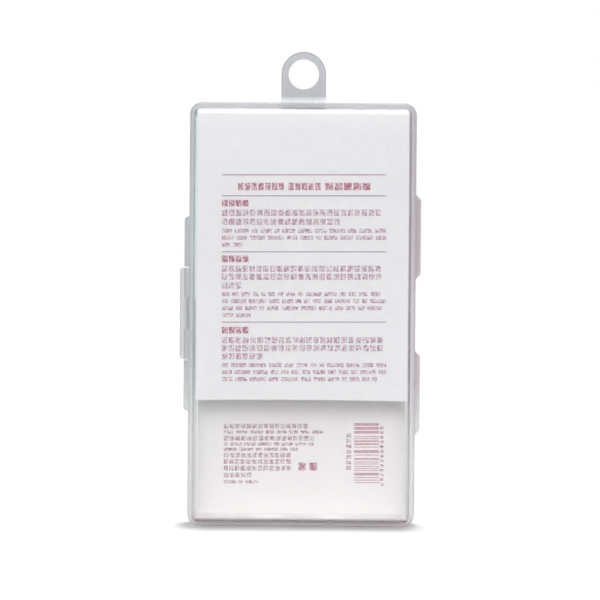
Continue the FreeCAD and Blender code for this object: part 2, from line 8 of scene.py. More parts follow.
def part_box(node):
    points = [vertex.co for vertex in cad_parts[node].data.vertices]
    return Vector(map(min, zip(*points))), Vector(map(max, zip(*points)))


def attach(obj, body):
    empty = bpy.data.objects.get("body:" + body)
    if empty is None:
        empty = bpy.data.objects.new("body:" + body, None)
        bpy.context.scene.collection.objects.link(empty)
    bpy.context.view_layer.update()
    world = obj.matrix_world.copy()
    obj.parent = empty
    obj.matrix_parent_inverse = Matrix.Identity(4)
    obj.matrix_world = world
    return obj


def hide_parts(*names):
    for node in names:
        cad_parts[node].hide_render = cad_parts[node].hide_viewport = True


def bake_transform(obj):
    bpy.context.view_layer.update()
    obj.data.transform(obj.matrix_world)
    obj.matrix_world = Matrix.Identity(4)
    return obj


# A clear hinged case that stands on its short edge, with a folded card and three capped razors inside.
# Metres, in the frame of the solids: the back faces -Y, the living hinges are on +X, the latch on -X.
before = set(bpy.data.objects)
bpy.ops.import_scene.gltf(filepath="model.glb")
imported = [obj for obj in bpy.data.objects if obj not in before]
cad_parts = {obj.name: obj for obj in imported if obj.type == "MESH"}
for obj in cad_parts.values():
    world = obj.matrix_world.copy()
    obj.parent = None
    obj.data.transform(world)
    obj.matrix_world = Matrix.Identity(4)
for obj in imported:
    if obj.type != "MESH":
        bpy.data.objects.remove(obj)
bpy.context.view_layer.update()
MM = 0.001


# Case shells: two trays of polypropylene from one injection mould, the back one with the hang tab.
# The plastic is clear but faintly milky, so the thin plates vanish and the rims, seen edge-on, turn grey.

def linear(colour):
    """An sRGB hex colour as the linear values that a shader takes."""
    channels = [int(colour[i:i + 2], 16) / 255 for i in (1, 3, 5)]
    return [c / 12.92 if c <= 0.04045 else ((c + 0.055) / 1.055) ** 2.4 for c in channels] + [1]


def add_node(tree, kind, settings=None, links=None):
    """Adds a shader node, sets its inputs, colour stops or options by name or number, and links its inputs."""
    node = tree.nodes.new("ShaderNode" + kind)
    for name, value in (settings or {}).items():
        if name == "stops":
            for place, _ in value[1:-1]:
                node.color_ramp.elements.new(place)
            for element, (place, colour) in zip(node.color_ramp.elements, value):
                element.position, element.color = place, linear(colour)
        elif isinstance(name, int) or name in node.inputs:
            node.inputs[name].default_value = value
        else:
            setattr(node, name, value)
    for name, source in (links or {}).items():
        tree.links.new(source, node.inputs[name])
    return node


def new_material(name):
    material = bpy.data.materials.new(name)
    material.use_nodes = True
    material.node_tree.nodes.clear()
    return material, material.node_tree


def dress(node_name, material):
    """Gives a CAD node its finish, with each curved face shaded smoothly."""
    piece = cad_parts[node_name]
    piece.data.materials.clear()
    piece.data.materials.append(material)
    piece.data.shade_smooth()


# Moulded polypropylene: the plates are polished and clear, with a trace of the mould's orange peel. Past the card's
# outline the thick corners and walls scatter light, so they look milky; their grey, their tints and their dark and
# light lines are painted shade and painted light, set out below.
POLYPROPYLENE_IOR = 1.49
PEEL_PITCH, PEEL_DEPTH = 1.6 * MM, 0.02 * MM
clear_polypropylene, tree = new_material("clear moulded polypropylene")
coords = add_node(tree, "TexCoord").outputs["Object"]
across = add_node(tree, "SeparateXYZ", None, {0: coords})
peel = add_node(tree, "TexNoise", {"Scale": 1 / PEEL_PITCH, "Detail": 2.0}, {"Vector": coords})
peel_bump = add_node(tree, "Bump", {"Strength": 0.06, "Distance": PEEL_DEPTH}, {"Height": peel.outputs["Fac"]})

# The rim starts at the plate's outline, which has round corners: how far out a point lies, from 0 to 1.
PLATE_HALF_WIDTH = 31.8 * MM
PLATE_LOW, PLATE_HIGH = 1.8 * MM, 124.8 * MM
PLATE_CORNER = 1.5 * MM
PLATE_SHIFT = 0.08 * MM
RIM_DEPTH = 2.4 * MM
to_middle = (PLATE_SHIFT, 0, -(PLATE_LOW + PLATE_HIGH) / 2)
plate_core = (PLATE_HALF_WIDTH - PLATE_CORNER, 0, (PLATE_HIGH - PLATE_LOW) / 2 - PLATE_CORNER)
face_on = add_node(tree, "VectorMath", {"operation": "MULTIPLY_ADD", 1: (1, 0, 1), 2: to_middle}, {0: coords})
mirrored = add_node(tree, "VectorMath", {"operation": "ABSOLUTE"}, {0: face_on.outputs[0]})
past_core = add_node(tree, "VectorMath", {"operation": "SUBTRACT", 1: plate_core}, {0: mirrored.outputs[0]})
outside = add_node(tree, "VectorMath", {"operation": "MAXIMUM", 1: (0, 0, 0)}, {0: past_core.outputs[0]})
out_by = add_node(tree, "VectorMath", {"operation": "LENGTH"}, {0: outside.outputs[0]})
into_rim = add_node(tree, "MapRange", {"From Min": PLATE_CORNER, "From Max": PLATE_CORNER + RIM_DEPTH},
                    {"Value": out_by.outputs["Value"]})

# The gap round the card is painted as a darker line of shade, and past it the polish gives way to haze.
POLISHED, HAZED = 0.03, 0.45
gap_painted_shade = add_node(tree, "ValToRGB", {"stops": [
    (0.08, "#f6f6f6"), (0.17, "#d3d5d7"), (0.28, "#d3d5d7"), (0.38, "#f6f6f7"),
]}, {"Fac": into_rim.outputs[0]})
rim = add_node(tree, "MapRange", {"From Min": 0.24, "From Max": 0.40}, {"Value": into_rim.outputs[0]})
polish = add_node(tree, "MapRange", {"To Min": POLISHED, "To Max": HAZED}, {"Value": rim.outputs[0]})

# Across the case, above the empty pocket, the plastic is painted with the light that the razors behind it would send
# through: painted mint light on the left and pink on the right. The latch and the hinges, where the plastic lies
# double, are painted in deeper tones as shade.
SIDE_X = 36.0 * MM
RAZORS_LOW, RAZORS_FULL = 28 * MM, 44 * MM
sideways_place = add_node(tree, "MapRange", {"From Min": -SIDE_X, "From Max": SIDE_X}, {"Value": across.outputs["X"]})
painted_side_light_and_shade = add_node(tree, "ValToRGB", {"stops": [
    (0.012, "#ccd2d3"), (0.028, "#edf6f5"), (0.057, "#edf6f5"), (0.061, "#ffffff"),
    (0.939, "#ffffff"), (0.943, "#f6ebf3"), (0.972, "#f6ebf3"), (0.985, "#d6c6c6"),
]}, {"Fac": sideways_place.outputs[0]})
painted_razor_light_share = add_node(tree, "MapRange", {"From Min": RAZORS_LOW, "From Max": RAZORS_FULL},
                       {"Value": across.outputs["Z"]})
body_tone_painted = add_node(tree, "Mix", {"data_type": "RGBA", "blend_type": "MULTIPLY"},
                     {0: painted_razor_light_share.outputs[0], 6: gap_painted_shade.outputs["Color"], 7: painted_side_light_and_shade.outputs["Color"]})
body = add_node(tree, "BsdfPrincipled", {"IOR": POLYPROPYLENE_IOR, "Transmission Weight": 1.0}, {
    "Base Color": body_tone_painted.outputs[2], "Roughness": polish.outputs[0], "Normal": peel_bump.outputs["Normal"]})

# Up the walls the haze is painted: pink at the foot as painted light from the card, paler above the empty pocket as
# painted light, and darker along the top as painted shade. Edge-on it is greyer.
CASE_TOP_Z = 127.0 * MM
height_place = add_node(tree, "MapRange", {"From Max": CASE_TOP_Z}, {"Value": across.outputs["Z"]})
painted_height_light_and_shade = add_node(tree, "ValToRGB", {"stops": [
    (0.010, "#f1e5e8"), (0.017, "#fefefe"), (0.22, "#fefefe"), (0.50, "#f9f9fa"),
    (0.90, "#e5e5e7"), (0.982, "#e5e5e7"), (0.990, "#d0d0d3"),
]}, {"Fac": height_place.outputs[0]})
edge_on = add_node(tree, "LayerWeight", {"Blend": 0.35})
thicker = add_node(tree, "MapRange", {"To Max": 0.40}, {"Value": edge_on.outputs["Facing"]})
wall_tone_painted = add_node(tree, "Mix", {"data_type": "RGBA", 7: linear("#a4a6a9")},
                     {0: thicker.outputs[0], 6: painted_height_light_and_shade.outputs["Color"]})

# The hang tab is painted a deeper grey, and its rounded rim is painted as a dark line of shade with a highlight inside
# it.
TAB_LOW, TAB_FADE = 129.2 * MM, 0.3 * MM
TAB_HALF_WIDTH = 6.7 * MM
TAB_RIM = 1.0 * MM
HOLE_HEIGHT = 136.3 * MM
TAB_REACH = 10 * MM
over_hole = add_node(tree, "MapRange", {
    "From Min": HOLE_HEIGHT, "From Max": HOLE_HEIGHT + TAB_REACH, "To Max": TAB_REACH,
}, {"Value": across.outputs["Z"]})
from_middle = add_node(tree, "CombineXYZ", None, {"X": across.outputs["X"], "Z": over_hole.outputs[0]})
out_to_edge = add_node(tree, "VectorMath", {"operation": "LENGTH"}, {0: from_middle.outputs[0]})
edge_place = add_node(tree, "MapRange", {"From Min": TAB_HALF_WIDTH - TAB_RIM, "From Max": TAB_HALF_WIDTH},
                      {"Value": out_to_edge.outputs["Value"]})
tab_painted_shade_and_highlight = add_node(tree, "ValToRGB", {"stops": [
    (0.1, "#c2c4c9"), (0.4, "#cfd1d5"), (0.6, "#cacccf"), (0.8, "#9ea1a5"),
]}, {"Fac": edge_place.outputs[0]})
in_tab = add_node(tree, "MapRange", {"From Min": TAB_LOW, "From Max": TAB_LOW + TAB_FADE},
                  {"Value": across.outputs["Z"]})

# The haze sends light back and through alike. A lamp shines into the case through the plates, less through the rims.
PLATE_HAZE, RIM_HAZE, TAB_HAZE = 0.05, 0.5, 0.72
PLATE_CLEARNESS, RIM_CLEARNESS = 1.0, 0.7
scatter_tone = add_node(tree, "Mix", {"data_type": "RGBA"}, {
    0: in_tab.outputs[0], 6: wall_tone_painted.outputs[2], 7: tab_painted_shade_and_highlight.outputs["Color"]}).outputs[2]
scatter_front = add_node(tree, "BsdfDiffuse", None, {"Color": scatter_tone})
scatter_back = add_node(tree, "BsdfTranslucent", None, {"Color": scatter_tone})
scatter = add_node(tree, "MixShader", {0: 0.5}, {1: scatter_front.outputs[0], 2: scatter_back.outputs[0]})
case_haze = add_node(tree, "MapRange", {"To Min": PLATE_HAZE, "To Max": RIM_HAZE}, {"Value": rim.outputs[0]})
haze = add_node(tree, "MapRange", {"To Max": TAB_HAZE}, {"Value": in_tab.outputs[0], "To Min": case_haze.outputs[0]})
milky = add_node(tree, "MixShader", None, {0: haze.outputs[0], 1: body.outputs[0], 2: scatter.outputs[0]})
lamps_through = add_node(tree, "BsdfTransparent", {"Color": linear("#f6f6f6")})
rays = add_node(tree, "LightPath")
clearness = add_node(tree, "MapRange", {"To Min": PLATE_CLEARNESS, "To Max": RIM_CLEARNESS}, {"Value": rim.outputs[0]})
let_through = add_node(tree, "Math", {"operation": "MULTIPLY"},
                       {0: rays.outputs["Is Shadow Ray"], 1: clearness.outputs[0]})
lit_inside = add_node(tree, "MixShader", None,
                      {0: let_through.outputs[0], 1: milky.outputs[0], 2: lamps_through.outputs[0]})
add_node(tree, "OutputMaterial", None, {"Surface": lit_inside.outputs[0]})
for shell in ("back_shell", "front_shell"):
    dress(shell, clear_polypropylene)


# Hang tab's root: a concave fillet along the foot of the tab, where it runs into the top wall of the case.
# It is part of the same moulding, left satin by the mould, and turns its face to the light above.

TAB_BACK_Y = -1.45 * MM
ROOT_REACH = 2.2 * MM
ROOT_HOLLOW = 0.94 * ROOT_REACH
ROOT_STEPS = 8
SINK = 0.03 * MM
SMOOTH_ANGLE = math.radians(30)
root_middle = Vector((0, TAB_BACK_Y + SINK - ROOT_REACH / 2, CASE_TOP_Z - SINK + ROOT_REACH / 2))
bpy.ops.object.select_all(action="DESELECT")
bpy.ops.mesh.primitive_cube_add(size=1, location=root_middle)
root = bpy.context.object
root.name = "tab_root_fillet"
root.scale = (2 * TAB_HALF_WIDTH, ROOT_REACH, ROOT_REACH)
bpy.ops.object.transform_apply(location=True, rotation=True, scale=True)


def pick_edges(piece, wanted):
    """Selects in edit mode the edges whose two ends pass a test."""
    bpy.ops.object.mode_set(mode="EDIT")
    bpy.ops.mesh.select_mode(type="EDGE")
    bpy.ops.mesh.select_all(action="DESELECT")
    bpy.ops.object.mode_set(mode="OBJECT")
    for edge in piece.data.edges:
        edge.select = wanted(*[piece.data.vertices[i].co for i in edge.vertices])
    bpy.ops.object.mode_set(mode="EDIT")


pick_edges(root, lambda a, b: max(a.y, b.y) < root_middle.y and min(a.z, b.z) > root_middle.z)
bpy.ops.mesh.bevel(offset=ROOT_HOLLOW, segments=ROOT_STEPS, profile=0.25, affect="EDGES")
bpy.ops.object.mode_set(mode="OBJECT")
bpy.ops.object.shade_smooth_by_angle(angle=SMOOTH_ANGLE)

# Satin polypropylene: the same plastic with a matt face, which shows small brighter flow marks.
FLOW_PITCH = 1.1 * MM
satin_polypropylene, tree = new_material("satin moulded polypropylene")
coords = add_node(tree, "TexCoord").outputs["Object"]
flow = add_node(tree, "TexNoise", {"Scale": 1 / FLOW_PITCH, "Detail": 3.0}, {"Vector": coords})
flow_tone = add_node(tree, "ValToRGB", {"stops": [(0.35, "#cbcdd1"), (0.6, "#d3d5d8"), (0.75, "#e9eaec")]},
                     {"Fac": flow.outputs["Fac"]})
satin = add_node(tree, "BsdfPrincipled", {"Roughness": 0.7, "IOR": POLYPROPYLENE_IOR, "Specular IOR Level": 0.2},
                 {"Base Color": flow_tone.outputs["Color"]})
add_node(tree, "OutputMaterial", None, {"Surface": satin.outputs[0]})
root.data.materials.append(satin_polypropylene)
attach(root, "case_back")


# Living hinges: two thin straps of the case's own plastic that fold round the hinge axis.
# Each is one strip from the back shell's flange, round the bend, to the front shell's flange, with sloping ends.

HINGE_AXIS_X = 35.35 * MM
HINGE_ROOT_X = 34.6 * MM
HINGE_WALL_X = 34.0 * MM
HINGE_THICKNESS = 0.35 * MM
HINGE_MID_RADIUS = 0.425 * MM
BEND_STEPS = 16


def edit_all():
    bpy.ops.object.mode_set(mode="EDIT")
    bpy.ops.mesh.select_all(action="SELECT")


def end_edit():
    bpy.ops.object.mode_set(mode="OBJECT")
    return bpy.context.object


def start_strip(name, place, thickness, length):
    """A flat end section of a strip, upright, ready to be drawn out along its path."""
    bpy.ops.object.select_all(action="DESELECT")
    bpy.ops.mesh.primitive_plane_add(size=1, location=place, rotation=(0, math.pi / 2, 0))
    strip = bpy.context.object
    strip.name = name
    strip.scale = (length, thickness, 1)
    bpy.ops.object.transform_apply(location=True, rotation=True, scale=True)
    edit_all()


def draw_out(x, y):
    bpy.ops.mesh.extrude_region_move(TRANSFORM_OT_translate={"value": (x, y, 0)})


def end_strip(node):
    """Turns the strip's faces outwards, gives it the case's plastic and lets it stand for its node."""
    bpy.ops.mesh.select_all(action="SELECT")
    bpy.ops.mesh.normals_make_consistent(inside=False)
    strip = end_edit()
    strip.data.materials.append(clear_polypropylene)
    bpy.ops.object.shade_smooth_by_angle(angle=SMOOTH_ANGLE)
    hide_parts(node)
    return strip


for place in ("upper", "lower"):
    node = "hinge_web_" + place
    low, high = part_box(node)
    centre = (low.z + high.z) / 2
    end_slope = high.z - centre + HINGE_ROOT_X - HINGE_WALL_X
    start_strip("hinge_strap_" + place, (HINGE_ROOT_X, -HINGE_MID_RADIUS, centre), HINGE_THICKNESS, 2 * end_slope)
    draw_out(HINGE_AXIS_X - HINGE_ROOT_X, 0)
    bpy.ops.mesh.spin(steps=BEND_STEPS, angle=math.pi, center=(HINGE_AXIS_X, 0, centre), axis=(0, 0, -1))
    draw_out(HINGE_ROOT_X - HINGE_AXIS_X, 0)
    for sign in (1, -1):
        bpy.ops.mesh.select_all(action="SELECT")
        bpy.ops.mesh.bisect(plane_co=(HINGE_WALL_X, 0, centre + sign * end_slope), plane_no=(1, 0, sign),
                            use_fill=True, clear_outer=True)
    strap = end_strip(node)
    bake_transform(strap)


# Latch: a snap flap on the side opposite the hinges, moulded with the case and hinged on the back shell
# by two thin strips. Its hook springs over a ridge on the front shell.

dress("latch", clear_polypropylene)
LATCH_AXIS = Vector((-34.5 * MM, -4.3 * MM, 0))
LATCH_WEB_THICKNESS = 0.35 * MM
LATCH_WEB_MID_RADIUS = 0.825 * MM
LATCH_WEB_LEAD = 0.2 * MM
for place in ("upper", "lower"):
    node = "latch_web_" + place
    low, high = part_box(node)
    centre = (low.z + high.z) / 2
    start_strip("latch_strip_" + place, (high.x, LATCH_AXIS.y - LATCH_WEB_MID_RADIUS, centre),
                LATCH_WEB_THICKNESS, high.z - low.z)
    draw_out(LATCH_AXIS.x - high.x, 0)
    bpy.ops.mesh.spin(steps=BEND_STEPS // 2, angle=math.pi / 2, center=(LATCH_AXIS.x, LATCH_AXIS.y, centre),
                      axis=(0, 0, 1))
    draw_out(0, LATCH_WEB_LEAD)
    strip = end_strip(node)
    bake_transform(strip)


# Display card: one sheet of coated white board, scored and folded into a floor, a front panel with a window,
# a ceiling and a back flap that covers the razors. The folds are rounded, and the flap's wide one catches the light.

CARD_THICKNESS = 0.4 * MM
FLAP_LENGTH = 87.6 * MM
FLOOR_FOLD, CEILING_FOLD, FLAP_FOLD = 0.4 * MM, 0.8 * MM, 1.6 * MM
FOLD_STEPS = 5
FLAP_BOW = 0.12 * MM
FLAP_EDGE_CURVE = 0.3 * MM
FLAP_CUTS = 23
WINDOW_SIDE_BAR = 3.8 * MM
WINDOW_TOP_BAR = 8.0 * MM
WINDOW_BOTTOM = 46.0 * MM
WINDOW_RADIUS = 4.0 * MM
WINDOW_STEPS = 8
CARD_SMOOTH_ANGLE = math.radians(35)

card_low, card_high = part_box("display_card")
half_sheet = CARD_THICKNESS / 2
card_half_width = card_high.x
back_y = card_low.y + half_sheet
front_y = card_high.y - half_sheet
floor_z = card_low.z + half_sheet
ceiling_z = card_high.z - half_sheet
flap_top_z = ceiling_z - FLAP_FOLD
flap_edge_z = card_high.z - FLAP_LENGTH

bpy.ops.object.select_all(action="DESELECT")
bpy.ops.mesh.primitive_plane_add(size=1, location=(0, (card_low.y + front_y - FLOOR_FOLD) / 2, floor_z))
card = bpy.context.object
card.name = "folded_card"
card.scale = (2 * card_half_width, front_y - FLOOR_FOLD - card_low.y, 1)
bpy.ops.object.transform_apply(location=True, rotation=True, scale=True)
bpy.ops.object.mode_set(mode="EDIT")
bpy.ops.mesh.select_mode(type="VERT")
bpy.ops.mesh.select_all(action="DESELECT")
bpy.ops.object.mode_set(mode="OBJECT")
for corner in card.data.vertices:
    corner.select = corner.co.y > 0
bpy.ops.object.mode_set(mode="EDIT")


def fold(centre_y, centre_z, radius, first, last):
    """Places along a rounded fold, seen from the end of the sheet."""
    turns = [first + (last - first) * i / FOLD_STEPS for i in range(FOLD_STEPS + 1)]
    return [(centre_y + radius * math.cos(turn), centre_z + radius * math.sin(turn)) for turn in turns]


quarter = math.pi / 2
fold_path = fold(front_y - FLOOR_FOLD, floor_z + FLOOR_FOLD, FLOOR_FOLD, -quarter, 0)
fold_path += fold(front_y - CEILING_FOLD, ceiling_z - CEILING_FOLD, CEILING_FOLD, 0, quarter)
fold_path += fold(back_y + FLAP_FOLD, ceiling_z - FLAP_FOLD, FLAP_FOLD, quarter, 2 * quarter)
fold_path += [(back_y, flap_edge_z)]
for (y, z), (next_y, next_z) in zip(fold_path, fold_path[1:]):
    bpy.ops.mesh.extrude_edges_move(TRANSFORM_OT_translate={"value": (0, next_y - y, next_z - z)})
bpy.ops.object.mode_set(mode="OBJECT")
for face in card.data.polygons:
    face.select = face.center.y < back_y + half_sheet and face.center.z < flap_top_z
bpy.ops.object.mode_set(mode="EDIT")
bpy.ops.mesh.subdivide(number_cuts=FLAP_CUTS)
end_edit()

# The flap stands out a little in its middle, not along its top fold, and its free edge is slightly hollow.
for vertex in card.data.vertices:
    x, y, z = vertex.co
    if y < back_y + half_sheet and flap_edge_z - half_sheet < z < flap_top_z + half_sheet:
        inward = 1 - (x / card_half_width) ** 2
        down = (flap_top_z - z) / (flap_top_z - flap_edge_z)
        vertex.co.y -= FLAP_BOW * inward * min(1, (flap_top_z - z) / FLAP_LENGTH * 2)
        vertex.co.z += FLAP_EDGE_CURVE * down ** 6 * inward

board = card.modifiers.new("board", "SOLIDIFY")
board.thickness = CARD_THICKNESS
board.offset = 0
board.use_even_offset = True
bpy.ops.object.modifier_apply(modifier="board")

window_high = card_high.z - WINDOW_TOP_BAR
bpy.ops.object.select_all(action="DESELECT")
bpy.ops.mesh.primitive_cube_add(size=1, location=(0, front_y, (WINDOW_BOTTOM + window_high) / 2))
punch = bpy.context.object
punch.scale = (2 * (card_half_width - WINDOW_SIDE_BAR), 10 * CARD_THICKNESS, window_high - WINDOW_BOTTOM)
bpy.ops.object.transform_apply(location=True, rotation=True, scale=True)
pick_edges(punch, lambda a, b: abs(a.x - b.x) + abs(a.z - b.z) < MM)
bpy.ops.mesh.bevel(offset=WINDOW_RADIUS, segments=WINDOW_STEPS, affect="EDGES")
end_edit()
bpy.context.view_layer.objects.active = card
window = card.modifiers.new("window", "BOOLEAN")
window.operation = "DIFFERENCE"
window.object = punch
bpy.ops.object.modifier_apply(modifier="window")
bpy.data.objects.remove(punch)
card.select_set(True)
bpy.ops.object.shade_smooth_by_angle(angle=CARD_SMOOTH_ANGLE)

# The board has a coated outer side in a cool white and a plain inner side in a warm white, and is printed
# a plain pink outside the front panel and the floor. A faint mottle follows its fibres.
FIBRE_LENGTH = 2.4 * MM
TOOTH_DEPTH = 0.02 * MM
BOARD_IOR = 1.5


def board_side(name, dark, light, roughness):
    material, tree = new_material(name)
    coords = add_node(tree, "TexCoord").outputs["Object"]
    fibres = add_node(tree, "TexNoise", {"Scale": 1 / FIBRE_LENGTH, "Detail": 6.0, "Roughness": 0.7},
                      {"Vector": coords})
    mottle = add_node(tree, "ValToRGB", {"stops": [(0.3, dark), (0.7, light)]}, {"Fac": fibres.outputs["Fac"]})
    tooth = add_node(tree, "Bump", {"Strength": 0.15, "Distance": TOOTH_DEPTH}, {"Height": fibres.outputs["Fac"]})
    surface = add_node(tree, "BsdfPrincipled", {"Roughness": roughness, "IOR": BOARD_IOR, "Specular IOR Level": 0.3},
                       {"Base Color": mottle.outputs["Color"], "Normal": tooth.outputs["Normal"]})
    add_node(tree, "OutputMaterial", None, {"Surface": surface.outputs[0]})
    return material


INNER, OUTER, PRINTED, CUT = range(4)
card.data.materials.append(board_side("plain inner side of the board", "#ece9e9", "#f3f1f1", 0.7))
card.data.materials.append(board_side("coated white board", "#e3e3e6", "#ebebed", 0.5))
card.data.materials.append(board_side("pink printed board", "#d6849f", "#df93ac", 0.45))
# The cut edge along the floor's free side is darker: partly the board's own cut-edge tone, partly painted shade of the
# gap beside it.
card.data.materials.append(board_side("cut edge of the board with painted shade", "#c0b8bc", "#ccc5c8", 0.8))
for face in card.data.polygons:
    y, z = face.center.y, face.center.z
    floor_edge = face.normal.y < -0.9 and z < floor_z + half_sheet
    front_outside = face.normal.y > 0.3 and y > front_y - CEILING_FOLD and z < ceiling_z - CEILING_FOLD
    floor_outside = face.normal.z < -0.3 and z < floor_z + 2 * FLOOR_FOLD and y < front_y
    top_outside = face.normal.z > 0.3 and z > ceiling_z - FLAP_FOLD
    flap_outside = face.normal.y < -0.3 and y < back_y + CEILING_FOLD and z > flap_edge_z
    if floor_edge:
        face.material_index = CUT
    elif front_outside or floor_outside:
        face.material_index = PRINTED
    elif top_outside or flap_outside:
        face.material_index = OUTER
    else:
        face.material_index = INNER
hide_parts("display_card")
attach(card, "case_back")


# Print: rows of made-up dashes in pink ink stand where the text is, with thin rules between the blocks
# and a block of bars. Each word is a film of ink on the board, broken into strokes too fine to read.

INK_LIFT = 0.02 * MM
PRINT_LEAN = math.radians(0.418)
LEAN_CENTRE = 67.84 * MM
random.seed(7)


def ink(name, paper, strong, stroke, cover):
    """Offset ink broken into fine strokes: a random mosaic of ink and bare board."""
    material, tree = new_material(name)
    coords = add_node(tree, "TexCoord").outputs["Object"]
    snapped = add_node(tree, "VectorMath", {"operation": "SNAP", 1: (stroke, 1.0, 1.2 * stroke)}, {0: coords})
    strokes = add_node(tree, "TexWhiteNoise", None, {"Vector": snapped.outputs[0]})
    inked = add_node(tree, "Math", {"operation": "LESS_THAN", 1: cover}, {0: strokes.outputs["Value"]})
    colour = add_node(tree, "Mix", {"data_type": "RGBA", 6: linear(paper), 7: linear(strong)},
                      {0: inked.outputs[0]})
    surface = add_node(tree, "BsdfPrincipled", {"Roughness": 0.5, "IOR": BOARD_IOR},
                       {"Base Color": colour.outputs[2]})
    add_node(tree, "OutputMaterial", None, {"Surface": surface.outputs[0]})
    return material


heading_ink = ink("dark pink heading ink", "#d6bac6", "#9f4767", 0.32 * MM, 0.6)
body_ink = ink("mauve text ink", "#dfd9dd", "#a3708a", 0.25 * MM, 0.5)
rule_ink = ink("greyish mauve rule ink", "#ae95a3", "#a28695", 0.30 * MM, 0.5)
bar_ink = ink("pink bar ink", "#cfa2af", "#bb8595", 0.30 * MM, 0.6)


def start_print(name):
    bpy.ops.object.select_all(action="DESELECT")
    mesh = bpy.data.meshes.new(name)
    sheet = bpy.data.objects.new(name, mesh)
    bpy.context.scene.collection.objects.link(sheet)
    bpy.context.view_layer.objects.active = sheet
    sheet.select_set(True)
    bpy.ops.object.mode_set(mode="EDIT")
    return sheet


def film(x_from, x_to, z, height, y):
    """One film of ink, facing the back."""
    middle = ((x_from + x_to) / 2, y, z)
    bpy.ops.mesh.primitive_plane_add(size=height, location=middle, rotation=(math.pi / 2, 0, 0))
    bpy.ops.transform.resize(value=((x_to - x_from) / height, 1, 1), center_override=middle)


def end_print(sheet, material):
    """Turns the print by its lean, because it was struck slightly askew on the card, and fixes it there."""
    bpy.ops.mesh.select_all(action="SELECT")
    bpy.ops.transform.rotate(value=PRINT_LEAN, orient_axis="Y", center_override=(0, 0, LEAN_CENTRE))
    end_edit()
    sheet.data.materials.append(material)
    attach(sheet, "case_back")


TEXT_LEFT, TEXT_RIGHT = -24.08 * MM, 25.2 * MM
FLAP_INK_Y = card_low.y - INK_LIFT - FLAP_BOW
PANEL_INK_Y = front_y - half_sheet - INK_LIFT


def row_of_words(z, right, word, gap, height, y):
    """Films of uneven length from the left margin to a row's end."""
    x = TEXT_LEFT
    while x < right - word[0]:
        end = min(x + random.uniform(*word), right)
        film(x, end, z, height, y)
        x = end + gap


# Each form of row has its shortest and longest word, the gap between words and the height.
FORMS = {
    "square": ((1.6 * MM, 1.8 * MM), 0.4 * MM, 1.9 * MM),
    "latin": ((1.4 * MM, 5.2 * MM), 0.8 * MM, 1.25 * MM),
    "heading": ((1.75 * MM, 1.8 * MM), 0.3 * MM, 2.0 * MM),
    "small": ((1.3 * MM, 1.5 * MM), 0.35 * MM, 1.5 * MM),
    "fine": ((1.2 * MM, 4.4 * MM), 0.7 * MM, 1.0 * MM),
}
# Each row of the flap has its form, its place up the card and its right end, in millimetres. The title's words have
# their left end, number of letters, letter width and pitch.
FLAP_ROWS = [
    ("heading", 96.9, -16.0), ("square", 94.0, 25.2), ("square", 91.3, 11.7), ("latin", 88.6, 25.2),
    ("latin", 86.5, 25.2), ("latin", 84.4, -17.2),
    ("heading", 80.2, -16.0), ("square", 77.2, 25.2), ("square", 74.8, 25.2), ("square", 72.2, -17.8),
    ("latin", 69.6, 25.2), ("latin", 67.5, 25.2), ("latin", 65.4, 25.2), ("latin", 63.3, -14.8),
    ("heading", 58.8, -16.0), ("square", 55.8, 25.2), ("square", 53.4, 25.2), ("square", 51.0, -10.6),
    ("latin", 48.3, 25.2), ("latin", 46.2, 25.2), ("latin", 44.1, 24.0),
]
TITLE_Z, TITLE_HEIGHT = 101.9 * MM, 2.2 * MM
TITLE_WORDS = ((-19.2, 7, 1.6, 2.03), (-4.1, 5, 1.6, 2.0), (6.9, 5, 2.4, 2.8))
headings = start_print("flap_headings")
for kind, z, right in FLAP_ROWS:
    if kind == "heading":
        row_of_words(z * MM, right * MM, *FORMS[kind], FLAP_INK_Y)
for first, letters, width, pitch in TITLE_WORDS:
    for i in range(letters):
        left = first + i * pitch
        film(left * MM, (left + width) * MM, TITLE_Z, TITLE_HEIGHT, FLAP_INK_Y)
end_print(headings, heading_ink)

flap_text = start_print("flap_text")
for kind, z, right in FLAP_ROWS:
    if kind != "heading":
        row_of_words(z * MM, right * MM, *FORMS[kind], FLAP_INK_Y)
end_print(flap_text, body_ink)

RULE_HEIGHTS = (105.4, 99.1, 82.3, 61.2)
RULE_THICKNESS = 0.34 * MM
rules = start_print("flap_rules")
for z in RULE_HEIGHTS:
    film(TEXT_LEFT, TEXT_RIGHT, z * MM, RULE_THICKNESS, FLAP_INK_Y)
end_print(rules, rule_ink)

# The front panel's rows as on the flap, and two columns of small marks beside the bars: their left and right ends,
# lowest mark, number of marks, and the height and pitch of the marks.
PANEL_ROWS = [
    ("small", 29.1, 3.0), ("fine", 27.3, 6.7), ("small", 25.4, 4.9), ("fine", 23.6, 3.7),
    ("fine", 22.0, -1.3), ("small", 20.2, -2.5), ("small", 18.2, -3.0), ("small", 16.2, -3.4),
    ("small", 14.1, -14.2), ("fine", 12.0, -12.0),
]
MARK_COLUMNS = ((13.5, 15.1, 16.3, 7, 1.2, 1.65), (23.9, 25.0, 11.2, 13, 0.9, 1.45))
panel_text = start_print("panel_text")
for kind, z, right in PANEL_ROWS:
    row_of_words(z * MM, right * MM, *FORMS[kind], PANEL_INK_Y)
for left, right, lowest, count, height, pitch in MARK_COLUMNS:
    for i in range(count):
        film(left * MM, right * MM, (lowest + i * pitch) * MM, height * MM, PANEL_INK_Y)
end_print(panel_text, body_ink)

BLOCK_Z, BLOCK_HEIGHT = 16.7 * MM, 2.4 * MM
panel_marks = start_print("panel_marks")
for left, right in ((-1.1, 1.1), (2.2, 4.6)):
    film(left * MM, right * MM, BLOCK_Z, BLOCK_HEIGHT, PANEL_INK_Y)
end_print(panel_marks, heading_ink)

